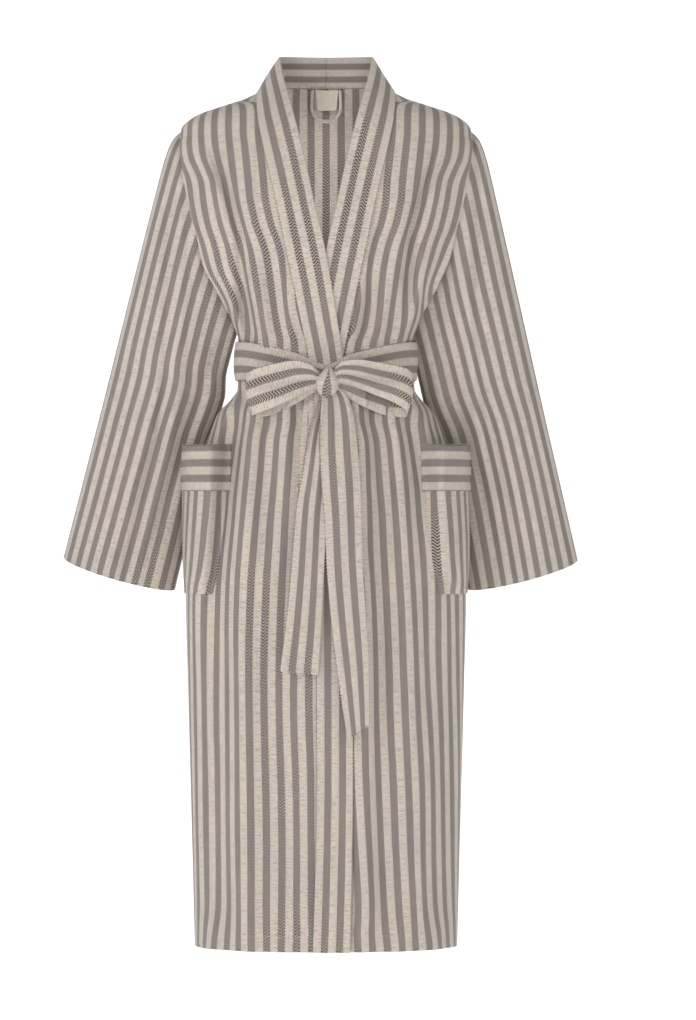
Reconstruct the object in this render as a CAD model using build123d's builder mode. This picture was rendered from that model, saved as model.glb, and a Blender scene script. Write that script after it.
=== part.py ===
"""A kimono-style bathrobe: wrap fronts, shawl band, set-in sleeves, patch pockets and a tied belt.

Millimetres, +Z up, the robe facing -Y. The origin is the middle of the neck opening, on the plane
of the side seams and level with the seam between the back panel and the neckband. Right and left
are the wearer's, so right is -X.
"""
from build123d import *
from math import radians, tan
import os

# Cloth and gaps
CLOTH = 2.2  # wall of every cloth shell, doubled at hems and so drawn thick
LAP = 6.0  # how far the lower wrap front lies behind the upper one at the centre
GAP = 0.6  # clear space between pieces of different bodies
REACH = 320  # longer than the robe is deep, for cuts through it
OVERRUN = 20  # how far a cut runs on past the edge that it trims

# The clothed body: height, half width, depth in front of and behind the side seams
BODY = [
    (43, 60, 30, 50),
    (0, 85, 45, 58),
    (-12, 107, 50, 62),
    (-23, 140, 56, 66),
    (-33, 170, 62, 70),
    (-44, 186, 68, 75),
    (-60, 196, 76, 84),
    (-100, 196, 90, 100),
    (-150, 185, 100, 112),
    (-260, 151, 105, 108),
    (-335, 119, 92, 92),
    (-400, 119, 88, 84),
    (-430, 143, 94, 92),
    (-460, 155, 100, 100),
    (-500, 172, 107, 110),
    (-560, 183, 112, 120),
    (-667, 187, 115, 125),
    (-900, 184, 112, 122),
    (-1142, 178, 105, 115),
]
COLLAR_TOP = BODY[0][0]
HEM = BODY[-1][0]
NAPE = 0  # height of the seam between back panel and neckband
FLAP_TOP = -882  # where the wrap starts to open, below the ends of the belt

# Right neckband as seen from the front, across and up, from the neck to the hem
BAND_INNER = [(-58, 60), (-39, -41), (0, -221), (25, -375), (36, -921), (31, -1200)]
BAND_OUTER = [(-90, 60), (-90, -12), (-88, -48), (-31, -321), (-15, -420), (-12, -921), (-20, -1200)]

# Armholes and sleeves
ARMHOLE_MIDDLE = (2, -200)  # across the depth, and up
ARMHOLE_RADII = (36, 112)
SLEEVE_HALF_WIDTH = 75
SLEEVE_CAP = [(199, -62), (206, -67), (214, -82), (420, -600), (420, -760), (80, -760), (80, -62)]
SLEEVE_RIGHT = {
    "tilt": 14.6,  # degrees from upright
    "top": (124.3, -41.8),  # middle of the tube's upper end, inside the shoulder
    "sections": [(0, 48, 0), (150, 50, 6), (300, 47, 24), (420, 44, 40), (614, 44, 44)],  # along, depth/2, y
}
SLEEVE_LEFT = {
    "tilt": 13.6,
    "top": (124.8, -40.3),
    "sections": [(0, 48, 0), (150, 50, 6), (300, 47, 29), (420, 44, 46), (614, 44, 49)],
}

# Patch pockets
POCKET_BODY = [(-467, 191, 122, 100), (-536, 193, 126, 110), (-620, 193, 122, 122), (-676, 191, 119, 130)]
POCKET_SIDE = 210  # past the side seam, where the outline is closed
POCKET_OUTLINE = [(POCKET_SIDE, -468), (125, -468), (131, -536), (145, -639), (164, -673),
                  (POCKET_SIDE, -673)]
POCKET_SPACE = [(POCKET_SIDE, -440), (127.2, -440), (127.2, -468), (133.2, -533.8), (147.2, -636.8),
                (166.2, -670.8), (POCKET_SIDE, -670.8)]
POCKET_BACK_EDGE = 6  # the pocket stops this far in front of the side seam
CUFF_TOP = -440
CUFF_BOTTOM = -535
POCKET_BOTTOM = -700

# Belt
BELT_GAP = 0.3
BELT_FRONT = [(-130, -336), (0, -373), (130, -336), (130, -394), (60, -411), (0, -409), (-60, -411),
              (-130, -394)]
BELT_BACK_HEIGHTS = (-336, -394)
KNOT_MIDDLE = (0, -107, -394)
KNOT_RADII = (15, 18)  # across, and up
BOW_TOP_VIEW = [(20, -98), (60, -88), (103, -77), (110, -86), (100, -96), (60, -103), (20, -104.5)]
BOW_OUTLINE = [(16, -382), (44, -364), (104, -375), (112, -380), (104, -437), (98, -438), (16, -405)]
BOW_FLOOR = -450  # below the lowest point of the bow
BOW_HEIGHT = 100
TAIL_STAND = 1.5  # how far the tails hang in front of the skirt
TAIL_RIGHT = [(-10, -419), (-2, -419), (-2, -640), (-9, -779), (-60, -773), (-38, -560), (-26, -455)]
TAIL_LEFT = [(2, -419), (10, -419), (30, -455), (47, -628), (57, -844), (28, -863), (4, -700), (2, -600)]

# Belt carriers on the side seams
CARRIER_WIDTH = 8
CARRIER_TOP = -330
CARRIER_BOTTOM = -400
CARRIER_INSIDE = 119.6  # from the middle plane
CARRIER_REACH = 5.2
CARRIER_THICK = 1.6

# Hanging loop and label inside the back of the neck
LOOP_RADIUS = 2.5
LOOP_DEPTH = 49  # behind the side seams
LOOP_ROUTE = [(-18.6, -1), (-19.5, -17), (-19, -32.9), (-7.9, -44), (7.9, -44), (19, -32.9), (19.5, -17),
              (18.6, -1)]
LABEL_SIZE = (30, 0.8, 27)
LABEL_TOP = (0, 53.4, -1)

SIDES = ((-1, "right"), (1, "left"))

os.makedirs("parts", exist_ok=True)


def oval(half_width, front, back):
    """A closed line of two half ellipses that meet at the side seams."""
    with BuildLine() as line:
        EllipticalCenterArc((0, 0), half_width, back, start_angle=0, arc_size=180)
        EllipticalCenterArc((0, 0), half_width, front, start_angle=180, arc_size=180)
    return line.line


def form(sections, grow=0.0, set_back=0.0, run_on=0.0):
    """The solid inside a stack of ovals, grown all round, its front set back, its ends run on."""
    stack = [(z + grow, w + grow, f + grow - set_back, b + grow) for z, w, f, b in sections]
    if run_on:
        top, bottom = stack[0], stack[-1]
        stack = [(top[0] + run_on, *top[1:])] + stack + [(bottom[0] - run_on, *bottom[1:])]
    with BuildPart() as solid:
        for z, half_width, front, back in stack:
            with BuildSketch(Plane.XY.offset(z)):
                add(oval(half_width, front, back))
                make_face()
        loft(ruled=True)
    return solid.part


def shell(outer, inner):
    """What is left of one form when another is taken out of it."""
    with BuildPart() as wall:
        add(outer)
        add(inner, mode=Mode.SUBTRACT)
    return wall.part


def prism(outline, near=0.0, far=REACH):
    """A front-view outline carried from depth `near` to depth `far` in front of the side seams."""
    with BuildPart() as block:
        with BuildSketch(Plane.XZ.offset(near)):
            with BuildLine():
                Polyline(*outline, close=True)
            make_face()
        extrude(amount=far - near)
    return block.part


def flipped(outline, side):
    """A front-view outline as drawn for the left side, or its mirror image for the right."""
    return [(side * x, z) for x, z in outline]


def between(top, bottom):
    """A front-view rectangle over the whole width, used to cut at two heights."""
    return [(-REACH, top), (REACH, top), (REACH, bottom), (-REACH, bottom)]


def finish(piece, label):
    """Name a piece and export it."""
    piece.part.label = label
    export_step(piece.part, f"parts/{label}.step")


# The two layers of the body: the upper wrap front with the back, and the lower wrap front
UPPER_LAYER = shell(form(BODY), form(BODY, -CLOTH, run_on=OVERRUN))
LOWER_LAYER = shell(form(BODY, set_back=LAP), form(BODY, -CLOTH, set_back=LAP, run_on=OVERRUN))
SKIRT_SURFACE = form(BODY, BELT_GAP)

BAND = BAND_INNER + BAND_OUTER[::-1]
FRONT = BAND_OUTER + [(-REACH, -1200), (-REACH, 60)]  # everything outside the neckband's outer seam
LEFT_BAND = flipped(BAND, -1)
LEFT_FRONT = flipped(FRONT, -1)

with BuildPart() as armholes:
    with BuildSketch(Plane.YZ):
        with Locations(ARMHOLE_MIDDLE):
            Ellipse(*ARMHOLE_RADII)
    extrude(amount=REACH, both=True)


def body_piece(label, layer, outline, top, bottom, near=0.0, far=REACH):
    """One layer of the body inside a front-view outline and between two heights, less the armholes."""
    with BuildPart() as piece:
        add(layer)
        add(prism(outline, near, far), mode=Mode.INTERSECT)
        add(prism(between(top, bottom), near, far), mode=Mode.INTERSECT)
        add(armholes.part, mode=Mode.SUBTRACT)
    finish(piece, label)


# Back panel, and the back of the neckband, which stands up from it
WHOLE_WIDTH = between(COLLAR_TOP + OVERRUN, HEM - OVERRUN)
body_piece("back_panel", UPPER_LAYER, WHOLE_WIDTH, NAPE, HEM - OVERRUN, 0, -REACH)
body_piece("neckband_back", UPPER_LAYER, WHOLE_WIDTH, COLLAR_TOP + OVERRUN, NAPE, 0, -REACH)

# Upper wrap front, above the flap and as the flap
body_piece("front_panel_right", UPPER_LAYER, FRONT, COLLAR_TOP + OVERRUN, FLAP_TOP)
body_piece("neckband_right", UPPER_LAYER, BAND, COLLAR_TOP + OVERRUN, FLAP_TOP)
body_piece("wrap_flap_panel", UPPER_LAYER, FRONT, FLAP_TOP - GAP, HEM - OVERRUN, GAP)
body_piece("wrap_flap_band", UPPER_LAYER, BAND, FLAP_TOP - GAP, HEM - OVERRUN, GAP)

# Lower wrap front
body_piece("front_panel_left", LOWER_LAYER, LEFT_FRONT, COLLAR_TOP + OVERRUN, HEM - OVERRUN)
body_piece("neckband_left", LOWER_LAYER, LEFT_BAND, COLLAR_TOP + OVERRUN, HEM - OVERRUN)


def sleeve_form(side, sleeve, shrink):
    """The sleeve as a solid tube, before it is trimmed by the body."""
    lean = Plane(
        origin=(side * sleeve["top"][0], 0, sleeve["top"][1]),
        x_dir=Vector(1, 0, 0).rotate(Axis.Y, -side * sleeve["tilt"]),
        z_dir=Vector(0, 0, -1).rotate(Axis.Y, -side * sleeve["tilt"]),
    )
    cap = [(side * (x - shrink), z - shrink) for x, z in SLEEVE_CAP]
    with BuildPart() as tube:
        for along, half_depth, behind in sleeve["sections"]:
            with BuildSketch(lean.offset(along)):
                with Locations((0, -behind)):
                    Ellipse(SLEEVE_HALF_WIDTH - shrink, half_depth - shrink)
        loft(ruled=True)
        add(prism(cap, -REACH, REACH), mode=Mode.INTERSECT)
    return tube.part


# Sleeves: a tube trimmed to the shoulder line and kept clear of the body
ARMHOLE_TRIM = form(BODY, GAP + 0.4)
for (side, hand), sleeve in zip(SIDES, (SLEEVE_RIGHT, SLEEVE_LEFT)):
    with BuildPart() as tube:
        add(sleeve_form(side, sleeve, 0))
        add(sleeve_form(side, sleeve, CLOTH), mode=Mode.SUBTRACT)
        add(ARMHOLE_TRIM, mode=Mode.SUBTRACT)
    finish(tube, f"sleeve_{hand}")

# Patch pockets: sheets that stand off the skirt, open at the top, with a cross-cut cuff
POCKET_FORM = form(POCKET_BODY)
POCKET_HOLLOW = form(POCKET_BODY, -CLOTH, run_on=OVERRUN)
for side, hand in SIDES:
    with BuildPart() as space:
        add(POCKET_HOLLOW)
        add(prism(flipped(POCKET_SPACE, side), POCKET_BACK_EDGE + CLOTH), mode=Mode.INTERSECT)
    with BuildPart() as bag:
        add(POCKET_FORM)
        add(prism(flipped(POCKET_OUTLINE, side), POCKET_BACK_EDGE), mode=Mode.INTERSECT)
        add(SKIRT_SURFACE, mode=Mode.SUBTRACT)
        add(space.part, mode=Mode.SUBTRACT)
    for label, top, bottom in (
        ("pocket_cuff", CUFF_TOP, CUFF_BOTTOM),
        ("pocket", CUFF_BOTTOM, POCKET_BOTTOM),
    ):
        with BuildPart() as piece:
            add(bag.part)
            add(prism(between(top, bottom)), mode=Mode.INTERSECT)
        finish(piece, f"{label}_{hand}")

# Belt round the waist
with BuildPart() as belt_reach:
    add(prism(BELT_FRONT))
    add(prism(between(*BELT_BACK_HEIGHTS), 0, -REACH))
with BuildPart() as belt_waist:
    add(form(BODY, BELT_GAP + CLOTH))
    add(SKIRT_SURFACE, mode=Mode.SUBTRACT)
    add(belt_reach.part, mode=Mode.INTERSECT)
finish(belt_waist, "belt_waist")

# Knot
with BuildPart() as belt_knot:
    with BuildSketch(Plane.XZ.offset(-KNOT_MIDDLE[1])):
        with Locations((KNOT_MIDDLE[0], KNOT_MIDDLE[2])):
            Ellipse(*KNOT_RADII)
            Rectangle(KNOT_RADII[0], 2 * KNOT_RADII[1], align=(Align.MAX, Align.CENTER), mode=Mode.SUBTRACT)
    revolve(axis=Axis((KNOT_MIDDLE[0], KNOT_MIDDLE[1], 0), (0, 0, 1)))
finish(belt_knot, "belt_knot")

# Bow: two flat loops, each a strip folded back on itself
for side, hand in SIDES:
    with BuildPart() as bow:
        with BuildSketch(Plane.XY.offset(BOW_FLOOR)):
            with BuildLine():
                Polyline(*[(side * x, y) for x, y in BOW_TOP_VIEW], close=True)
            make_face()
            offset(amount=-CLOTH, kind=Kind.INTERSECTION, mode=Mode.SUBTRACT)
        extrude(amount=BOW_HEIGHT)
        add(prism(flipped(BOW_OUTLINE, side)), mode=Mode.INTERSECT)
    finish(bow, f"belt_bow_{hand}")

# Tails
TAIL_LAYER = shell(form(BODY, TAIL_STAND + CLOTH), form(BODY, TAIL_STAND))
for outline, hand in ((TAIL_RIGHT, "right"), (TAIL_LEFT, "left")):
    with BuildPart() as tail:
        add(TAIL_LAYER)
        add(prism(outline), mode=Mode.INTERSECT)
    finish(tail, f"belt_tail_{hand}")

# Belt carriers: flat loops of thread that stand out round the belt
for side, hand in SIDES:
    outward = Align.MIN if side > 0 else Align.MAX
    height = CARRIER_TOP - CARRIER_BOTTOM
    with BuildPart() as carrier:
        with BuildSketch(Plane.XZ):
            with Locations((side * CARRIER_INSIDE, CARRIER_TOP)):
                Rectangle(CARRIER_REACH, height, align=(outward, Align.MAX))
            with Locations((side * CARRIER_INSIDE, CARRIER_TOP - CARRIER_THICK)):
                Rectangle(
                    CARRIER_REACH - CARRIER_THICK,
                    height - 2 * CARRIER_THICK,
                    align=(outward, Align.MAX),
                    mode=Mode.SUBTRACT,
                )
        extrude(amount=CARRIER_WIDTH / 2, both=True)
        add(SKIRT_SURFACE, mode=Mode.SUBTRACT)
    finish(carrier, f"belt_loop_{hand}")

# Hanging loop: straight runs joined by arcs as large as the runs allow
route = [Vector(x, LOOP_DEPTH, z) for x, z in LOOP_ROUTE]
radii = []
for before, here, after in zip(route, route[1:], route[2:]):
    turn = (here - before).get_angle(after - here)
    shorter = min((here - before).length, (after - here).length)
    radii.append(0.45 * shorter / tan(radians(turn / 2)))
print("hanging loop radii", [round(r, 1) for r in radii])
with BuildPart() as hanger_loop:
    with BuildLine() as loop_line:
        FilletPolyline(*route, radius=radii)
    with BuildSketch(Plane(origin=route[0], z_dir=route[1] - route[0])):
        Circle(LOOP_RADIUS)
    sweep(path=loop_line.line)
finish(hanger_loop, "hanger_loop")

# Label
with BuildPart() as neck_label:
    with Locations(LABEL_TOP):
        Box(*LABEL_SIZE, align=(Align.CENTER, Align.CENTER, Align.MAX))
finish(neck_label, "neck_label")
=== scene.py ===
"""A kimono-style bathrobe in striped woven cotton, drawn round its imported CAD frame.

Lengths of the robe are millimetres, in the frame's axes: +Z up, the robe facing -Y, right and left
the wearer's, so right is -X. MM turns them into metres as each piece is made. Every sheet of cloth
carries UVs in metres of flat cloth, U across the stripes and V along them, and the weave is drawn
from them.
"""
import math

import bpy
import numpy as np
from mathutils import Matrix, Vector


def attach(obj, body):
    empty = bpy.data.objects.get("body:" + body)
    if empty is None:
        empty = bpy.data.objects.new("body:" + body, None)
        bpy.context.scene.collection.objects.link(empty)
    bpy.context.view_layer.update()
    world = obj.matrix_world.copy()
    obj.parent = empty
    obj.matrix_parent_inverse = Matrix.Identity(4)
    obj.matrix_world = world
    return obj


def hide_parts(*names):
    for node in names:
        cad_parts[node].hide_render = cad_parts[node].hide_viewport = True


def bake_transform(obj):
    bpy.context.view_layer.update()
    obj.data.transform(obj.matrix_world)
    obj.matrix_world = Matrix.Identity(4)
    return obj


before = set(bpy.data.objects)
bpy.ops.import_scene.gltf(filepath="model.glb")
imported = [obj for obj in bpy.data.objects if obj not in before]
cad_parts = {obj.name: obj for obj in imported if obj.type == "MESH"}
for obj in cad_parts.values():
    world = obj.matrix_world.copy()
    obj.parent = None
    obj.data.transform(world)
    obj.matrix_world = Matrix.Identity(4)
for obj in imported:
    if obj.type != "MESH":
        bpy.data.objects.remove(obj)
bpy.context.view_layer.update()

MM = 0.001
PITCH = 20.3  # one dark and one light stripe
CLOTH = 1.1  # thickness of one layer of cloth
BAND_WIDTH = 51.0  # neckband and belt, two and a half stripe pairs
FIRST_STRIPE = 5.0  # U at the edge of neckband and belt; a dark stripe's middle is at 0
HEM = -1141.0
NAPE = 5.0  # height of the seam between the back and the neckband


# ---------------------------------------------------------------- curves and meshes
def curve(*keys):
    """A smooth function through (position, value) pairs, without overshoot between them.

    It is monotone cubic interpolation: the slope at each pair is a weighted harmonic mean.
    """
    xs, ys = np.array(sorted(keys), float).T
    step, rise = np.diff(xs), np.diff(ys)
    slope = rise / step
    tangent = np.zeros(len(xs))
    tangent[0], tangent[-1] = slope[0], slope[-1]
    for i in range(1, len(xs) - 1):
        if slope[i - 1] * slope[i] > 0:
            weight = (2 * step[i] + step[i - 1], step[i] + 2 * step[i - 1])
            tangent[i] = sum(weight) / (weight[0] / slope[i - 1] + weight[1] / slope[i])

    def value(x):
        x = np.clip(np.asarray(x, float), xs[0], xs[-1])
        i = np.clip(np.searchsorted(xs, x, side="right") - 1, 0, len(step) - 1)
        t = (x - xs[i]) / step[i]
        a, b = tangent[i] * step[i], tangent[i + 1] * step[i]
        return ys[i] + t * (a + t * ((3 * rise[i] - 2 * a - b) + t * (a + b - 2 * rise[i])))

    return value


PATH_STEPS = 400  # fine enough that a path's length is true to a fraction of a millimetre


def path(points, count):
    """count points along a smooth line through the given ones, evenly spaced by length."""
    points = np.array(points, float)
    along = np.concatenate([[0], np.cumsum(np.linalg.norm(np.diff(points, axis=0), axis=1))])
    fine = np.linspace(0, along[-1], PATH_STEPS)
    line = np.stack([curve(*zip(along, points[:, k]))(fine) for k in range(points.shape[1])], 1)
    run = np.concatenate([[0], np.cumsum(np.linalg.norm(np.diff(line, axis=0), axis=1))])
    even = np.linspace(0, run[-1], count)
    return np.stack([np.interp(even, run, line[:, k]) for k in range(points.shape[1])], 1)


def smoothstep(x, low, high):
    """0 below low, 1 above high and a smooth rise between them."""
    t = np.clip((np.asarray(x, float) - low) / (high - low), 0, 1)
    return t * t * (3 - 2 * t)


def row_lengths(grid):
    """Distance along each row of a grid of points, from its first point."""
    steps = np.linalg.norm(np.diff(grid, axis=1), axis=2)
    return np.concatenate([np.zeros((len(grid), 1)), np.cumsum(steps, axis=1)], axis=1)


def mesh_piece(name, grid, uv, material, outward, thick=CLOTH, closed=False):
    """A sheet of cloth from a grid of points and one of UVs, with its outer face towards outward."""
    rows, columns = grid.shape[:2]
    index = np.arange(rows * columns).reshape(rows, columns)
    quads = np.stack([index[:-1, :-1], index[:-1, 1:], index[1:, 1:], index[1:, :-1]], -1).reshape(-1, 4)
    points = grid.reshape(-1, 3)
    flat_uv = uv.reshape(-1, 2)
    corner = points[quads]
    normal = np.cross(corner[:, 2] - corner[:, 0], corner[:, 3] - corner[:, 1])
    middle = corner.mean(axis=1)
    facing = outward(middle) if callable(outward) else np.broadcast_to(outward, middle.shape)
    if (normal * facing).sum() < 0:
        quads = quads[:, ::-1]
    mesh = bpy.data.meshes.new(name)
    mesh.from_pydata((points * MM).tolist(), [], quads.tolist())
    layer = mesh.uv_layers.new(name="cloth")
    layer.data.foreach_set("uv", (flat_uv[quads.reshape(-1)] * MM).astype(np.float32).reshape(-1))
    mesh.polygons.foreach_set("use_smooth", [True] * len(quads))
    mesh.materials.append(material)
    mesh.update()
    piece = bpy.data.objects.new(name, mesh)
    bpy.context.scene.collection.objects.link(piece)
    if closed:
        weld = piece.modifiers.new("weld", "WELD")
        weld.merge_threshold = 0.02 * MM
    if thick:
        solid = piece.modifiers.new("thickness", "SOLIDIFY")
        solid.thickness = thick * MM
        solid.offset = -1
        solid.use_even_offset = False
    return piece


def from_axis(points):
    """Directions away from the robe's upright middle line."""
    return points * np.array([1.0, 1.0, 0.0])


FRONT = np.array([0.0, -1.0, 0.0])


# ---------------------------------------------------------------- materials
class Nodes:
    """A small helper that adds and joins shader nodes."""

    def __init__(self, name):
        self.material = bpy.data.materials.new(name)
        self.material.use_nodes = True
        self.tree = self.material.node_tree
        self.shader = self.tree.nodes["Principled BSDF"]

    def add(self, kind, **settings):
        node = self.tree.nodes.new(kind)
        for key, value in settings.items():
            setattr(node, key, value)
        return node

    def link(self, source, target):
        self.tree.links.new(source, target)

    def math(self, operation, a, b=None, c=None, clamp=False):
        node = self.add("ShaderNodeMath", operation=operation, use_clamp=clamp)
        for socket, value in zip(node.inputs, (a, b, c)):
            if value is None:
                continue
            if isinstance(value, (int, float)):
                socket.default_value = value
            else:
                self.link(value, socket)
        return node.outputs[0]

    def ramp(self, value, low, high, to_low=0.0, to_high=1.0):
        node = self.add("ShaderNodeMapRange", interpolation_type="SMOOTHSTEP")
        self.link(value, node.inputs["Value"])
        numbers = {"From Min": low, "From Max": high, "To Min": to_low, "To Max": to_high}
        for socket, number in numbers.items():
            node.inputs[socket].default_value = number
        return node.outputs["Result"]

    def noise(self, vector, scale, detail=2.0):
        node = self.add("ShaderNodeTexNoise")
        self.link(vector, node.inputs["Vector"])
        node.inputs["Scale"].default_value = scale
        node.inputs["Detail"].default_value = detail
        return node.outputs["Fac"]

    def mix(self, factor, a, b):
        node = self.add("ShaderNodeMix", data_type="RGBA")
        if isinstance(factor, (int, float)):
            node.inputs[0].default_value = factor
        else:
            self.link(factor, node.inputs[0])
        for socket, value in ((node.inputs[6], a), (node.inputs[7], b)):
            if isinstance(value, tuple):
                socket.default_value = (*value, 1.0)
            else:
                self.link(value, socket)
        return node.outputs[2]


DARK_YARN = (0.040, 0.032, 0.027)
LIGHT_YARN = (0.475, 0.425, 0.382)
CREAM = (0.60, 0.540, 0.478)
CREAM_SHADE = (0.40, 0.350, 0.300)
TWILL = 4.2  # height of one diagonal of the herringbone


def woven(name, striped=True, base=CREAM, shade=CREAM_SHADE, has_uv=True):
    """Herringbone cotton: dark stripes of mixed yarn between cream ones, drawn from the cloth's UVs."""
    n = Nodes(name)
    if has_uv:
        uv = n.add("ShaderNodeUVMap", uv_map="cloth").outputs["UV"]
    else:
        uv = n.add("ShaderNodeTexCoord").outputs["Object"]
    split = n.add("ShaderNodeSeparateXYZ")
    n.link(uv, split.inputs[0])
    across, along = split.outputs[0], split.outputs[1] if has_uv else split.outputs[2]
    # the diagonals turn back twice in each dark stripe
    fold = n.math("PINGPONG", n.math("ADD", across, PITCH / 8 * MM), PITCH / 4 * MM)
    ridge = n.math("PINGPONG", n.math("DIVIDE", n.math("ADD", along, fold), TWILL / 2 * MM), 1.0)
    stretched = n.add("ShaderNodeMapping")
    n.link(uv, stretched.inputs["Vector"])
    stretched.inputs["Scale"].default_value = (700.0, 60.0, 60.0)
    warp = n.noise(stretched.outputs[0], 1.0)
    crossed = n.add("ShaderNodeMapping")
    n.link(uv, crossed.inputs["Vector"])
    crossed.inputs["Scale"].default_value = (90.0, 520.0, 520.0)
    weft = n.noise(crossed.outputs[0], 1.0)
    # noise scales are features to the metre: clouds of 8 cm, patches of 2 cm, specks of 2 mm
    cloud = n.noise(uv, 12.0, 3.0)
    patch = n.noise(uv, 60.0, 2.0)
    speck = n.noise(uv, 480.0, 1.0)
    slub = n.math("ADD", n.math("MULTIPLY", weft, 0.65), n.math("MULTIPLY", speck, 0.35))
    cream = n.mix(n.ramp(slub, 0.36, 0.56), shade, base)
    cream = n.mix(n.ramp(ridge, 0.1, 0.6, 0.20, 0.0), cream, shade)
    colour = cream
    if striped:
        mottle = n.math("MULTIPLY", n.math("SUBTRACT", speck, 0.5), 0.8)
        yarn = n.ramp(n.math("ADD", ridge, mottle), 0.45, 0.67)
        mixed = n.mix(yarn, DARK_YARN, LIGHT_YARN)
        teeth = n.math("MULTIPLY", n.math("SUBTRACT", yarn, 0.5), 0.085)
        phase = n.math("ADD", n.math("ADD", n.math("DIVIDE", across, PITCH * MM), teeth), 0.5)
        distance = n.math("ABSOLUTE", n.math("SUBTRACT", n.math("FRACT", phase), 0.5))
        colour = n.mix(n.ramp(distance, 0.236, 0.248), mixed, cream)
    tint = n.mix(n.ramp(cloud, 0.35, 0.65), (0.95, 0.945, 0.965), (1.03, 1.01, 0.975))
    tint = n.mix(n.ramp(patch, 0.30, 0.70, 0.0, 0.5), tint, (1.0, 0.99, 0.97))
    shaded = n.add("ShaderNodeMix", data_type="RGBA", blend_type="MULTIPLY")
    shaded.inputs[0].default_value = 1.0
    n.link(colour, shaded.inputs[6])
    n.link(tint, shaded.inputs[7])
    n.link(shaded.outputs[2], n.shader.inputs["Base Color"])
    height = n.math("ADD", n.math("MULTIPLY", ridge, 0.7),
                    n.math("ADD", n.math("MULTIPLY", warp, 0.3), n.math("MULTIPLY", weft, 0.4)))
    bump = n.add("ShaderNodeBump")
    bump.inputs["Strength"].default_value = 0.8
    bump.inputs["Distance"].default_value = 0.45 * MM
    n.link(height, bump.inputs["Height"])
    n.link(bump.outputs[0], n.shader.inputs["Normal"])
    n.link(n.ramp(weft, 0.3, 0.7, 0.82, 0.95), n.shader.inputs["Roughness"])
    n.shader.inputs["Sheen Weight"].default_value = 0.15
    n.shader.inputs["Sheen Roughness"].default_value = 0.5
    n.shader.inputs["Specular IOR Level"].default_value = 0.2
    return n.material


striped = woven("striped_cotton")
PLAIN_CREAM = (0.62, 0.56, 0.49)
piping = woven("cream_piping", striped=False, base=PLAIN_CREAM, shade=(0.47, 0.41, 0.35), has_uv=False)
thread = woven("cream_thread", striped=False, base=PLAIN_CREAM, shade=(0.50, 0.44, 0.38), has_uv=False)
label_cloth = woven("label_cotton", striped=False, base=(0.66, 0.61, 0.52), shade=(0.60, 0.55, 0.46))


# ---------------------------------------------------------------- the clothed body
HALF_WIDTH = curve((43, 60), (20, 73), (0, 85), (-12, 106), (-23, 139), (-33, 168), (-44, 186), (-53, 193),
                   (-70, 195), (-108, 191), (-161, 181), (-195, 172), (-239, 162), (-268, 147), (-311, 125),
                   (-336, 117),
                   (-400, 118), (-414, 127), (-432, 144), (-461, 156), (-500, 170), (-560, 182), (-667, 187),
                   (-800, 184), (-950, 180), (-1060, 177), (HEM, 175))
FRONT_DEPTH = curve((43, 30), (0, 46), (-12, 51), (-23, 57), (-33, 63), (-44, 68), (-60, 75), (-100, 88),
                    (-150, 98), (-220, 104), (-270, 103), (-310, 96), (-340, 88), (-392, 86), (-420, 91),
                    (-460, 100), (-500, 106), (-560, 111), (-667, 114), (-900, 111), (HEM, 105))
BACK_DEPTH = curve((43, 50), (0, 58), (-12, 62), (-33, 70), (-60, 83), (-100, 98), (-150, 108), (-200, 110),
                   (-260, 105), (-335, 91), (-395, 84), (-430, 91), (-460, 100), (-500, 109), (-560, 118),
                   (-667, 124), (-900, 121), (HEM, 114))
ARMHOLE_TOP, ARMHOLE_MIDDLE, ARMHOLE_BOTTOM = -66.0, -205.0, -336.0


def armhole_depth(z):
    """How far the armhole's edge stands in front of, or behind, the side seam at each height."""
    upper = (z - ARMHOLE_MIDDLE) / (ARMHOLE_TOP - ARMHOLE_MIDDLE)
    lower = (z - ARMHOLE_MIDDLE) / (ARMHOLE_BOTTOM - ARMHOLE_MIDDLE)
    return 46 * np.sqrt(np.clip(1 - np.maximum(upper, lower) ** 2, 0, 1))


def body_depth(x, z, depth, power=2.5):
    """Distance of the body's surface from the plane of the side seams."""
    edge = armhole_depth(z)
    share = np.clip(np.abs(x) / HALF_WIDTH(z), 0, 1)
    rise = np.sqrt(np.clip(1 - share**power, 0, 1))
    return edge * (1 - rise) ** 2 + depth(z) * rise


def edge_spacing(count):
    """Numbers from 0 to 1 that crowd together near 1, where a surface turns away at its edge."""
    return np.sin(np.linspace(0, math.pi / 2, count))


def heights(top, bottom, fine_until=-70.0, fine=1.6, coarse=4.0):
    """Row heights, close together over the shoulders and even below them."""
    upper = np.arange(top, fine_until, -fine)
    lower = np.linspace(fine_until, bottom, int(round((fine_until - bottom) / coarse)) + 1)
    return np.concatenate([upper, lower])


def upward(x, z, depth, steps=24):
    """Distance up the cloth along a line of constant x: longer than the height on a sloping shoulder."""
    low = np.minimum(z, -110.0)
    step = (z - low) / steps
    total = low.copy()
    before = body_depth(x, low, depth)
    for i in range(1, steps + 1):
        here = body_depth(x, low + step * i, depth)
        total += np.hypot(step, here - before)
        before = here
    return total


def fold(x, z, line, width, height, ends=60.0):
    """One long fold: a ridge, or a valley if height is negative, along a line of (z, x) points."""
    tops = [point[0] for point in line]
    inside = smoothstep(z, min(tops), min(tops) + ends) * (1 - smoothstep(z, max(tops) - ends, max(tops)))
    return height * inside * np.exp(-(((x - curve(*line)(z)) / width) ** 2))


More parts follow.
